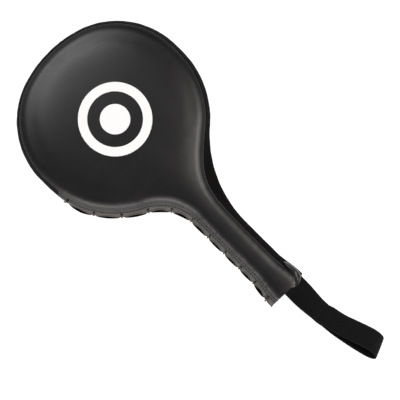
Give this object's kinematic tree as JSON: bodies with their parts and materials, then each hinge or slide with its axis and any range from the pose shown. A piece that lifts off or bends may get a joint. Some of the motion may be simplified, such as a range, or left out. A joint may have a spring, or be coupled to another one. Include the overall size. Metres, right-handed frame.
{
  "type": "kick paddle",
  "caption": "Round padded kick paddle with a laced side, a long padded grip and a webbing wrist loop.",
  "frame": {"origin": "on the flat back face, under the middle of the round head", "axes": "+X across the head, away from the laced side; +Y from the grip's end to the crown; +Z out of the striking face"},
  "size_m": [0.234, 0.5361, 0.0404],
  "materials": {
    "leatherette": "smooth matte black artificial leather with a fine grain",
    "leatherette_side": "matte black artificial leather of the side strips, a little more worn",
    "board": "dense grey polyethylene board",
    "foam": "off-white closed-cell foam",
    "lace": "braided black cord, waxed",
    "thread": "bonded black polyester thread",
    "print": "flat white screen print",
    "webbing": "matte black woven webbing"
  },
  "bodies": {
    "paddle": {"front_panel": "leatherette", "back_panel": "leatherette", "side_gusset": "leatherette_side", "front_facing": "leatherette_side", "back_facing": "leatherette_side", "end_panel": "leatherette_side", "core_board": "board", "grip_spine": "board", "head_foam_front": "foam", "head_foam_back": "foam", "grip_foam_front": "foam", "grip_foam_back": "foam", "lace": "lace", "lace_start_knot": "lace", "lace_end_knot": "lace", "front_seam_thread": "thread", "back_seam_thread": "thread", "front_facing_thread": "thread", "back_facing_thread": "thread", "front_hem_thread": "thread", "back_hem_thread": "thread", "emblem": "print", "strap_tail": "webbing", "strap_tack": "thread"},
    "loop_near": {"strap_near": "webbing"},
    "loop_far": {"strap_far": "webbing"}
  },
  "joints": [
    {"name": "loop_swing", "type": "hinge", "parent": "paddle", "child": "loop_near", "pos_m": [0.0085, -0.29158, 0.02], "axis": [-1, 0, 0], "range_deg": [-60, 95]},
    {"name": "loop_fold", "type": "hinge", "parent": "loop_near", "child": "loop_far", "pos_m": [0.0111, -0.34958, 0.0022], "axis": [-0.9851, -0.1719, 0], "range_deg": [-85, 55]}
  ]
}
